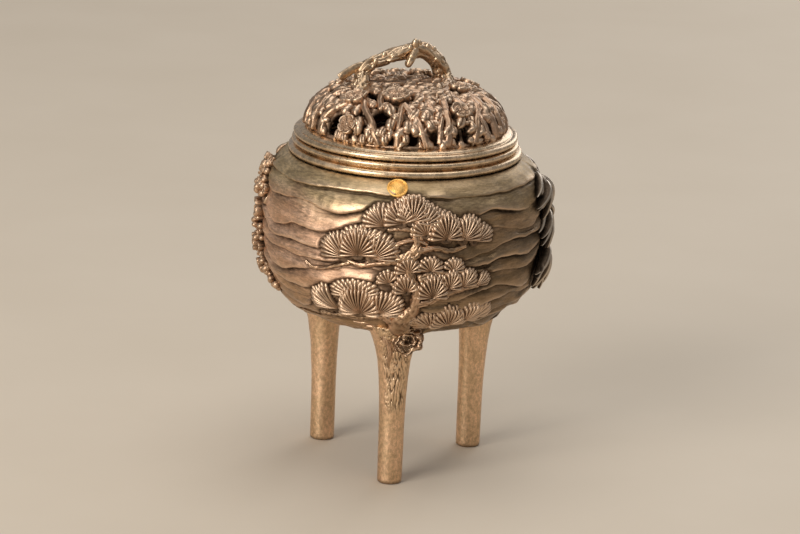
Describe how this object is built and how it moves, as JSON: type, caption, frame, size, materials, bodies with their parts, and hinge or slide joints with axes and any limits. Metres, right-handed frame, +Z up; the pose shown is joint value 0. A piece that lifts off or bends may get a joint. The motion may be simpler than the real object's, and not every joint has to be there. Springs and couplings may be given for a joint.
{
  "type": "tripod incense burner",
  "caption": "Round cast bronze incense burner on three legs, with pine, plum and bamboo in relief, an ash liner, and a pierced domed lid with a branch handle.",
  "frame": {"origin": "on the table plane, at the centre of the circle that the three feet stand on, below the bowl's centre", "axes": "+Z up, -Y towards the front, where the pine and the gilt boss are, and +X to the right as seen from the front"},
  "size_m": [0.1417, 0.1397, 0.2039],
  "materials": {
    "bronze": "cast bronze with a brown patina, rubbed brighter on its high points",
    "copper": "spun copper, dull",
    "gilt": "gilt, satin"
  },
  "bodies": {
    "burner": {"bowl": "bronze", "mouth_collar": "bronze", "ash_liner": "copper", "leg_pine": "bronze", "leg_bamboo": "bronze", "leg_plum": "bronze", "leg_dowel_pine": "bronze", "leg_dowel_bamboo": "bronze", "leg_dowel_plum": "bronze", "gilt_boss": "gilt", "pine_trunk": "bronze", "pine_pad_crown": "bronze", "pine_pad_right_high": "bronze", "pine_pad_left_high": "bronze", "pine_pad_middle": "bronze", "pine_pad_right_low": "bronze", "pine_pad_left_low": "bronze", "pine_pad_right_foot": "bronze", "plum_trunk": "bronze", "plum_flower_1": "bronze", "plum_flower_2": "bronze", "plum_flower_3": "bronze", "plum_flower_4": "bronze", "plum_flower_5": "bronze", "plum_flower_6": "bronze", "plum_flower_7": "bronze", "plum_flower_8": "bronze", "bamboo_culm": "bronze", "bamboo_leaf_1": "bronze", "bamboo_leaf_2": "bronze", "bamboo_leaf_3": "bronze", "bamboo_leaf_4": "bronze", "bamboo_leaf_5": "bronze", "bamboo_leaf_6": "bronze", "bamboo_leaf_7": "bronze"},
    "lid": {"lid_ring": "bronze", "lid_dome": "bronze", "lid_handle": "bronze", "handle_pin_left": "bronze", "handle_pin_right": "bronze", "lid_flower_1": "bronze", "lid_flower_2": "bronze", "lid_flower_3": "bronze", "lid_flower_4": "bronze", "lid_flower_5": "bronze", "lid_flower_6": "bronze", "lid_flower_7": "bronze", "lid_flower_8": "bronze", "lid_flower_9": "bronze", "lid_flower_10": "bronze"}
  },
  "joints": [
    {"name": "lid_lift", "type": "slide", "parent": "burner", "child": "lid", "axis": [0, 0, 1], "range_m": [0, 0.1]}
  ]
}
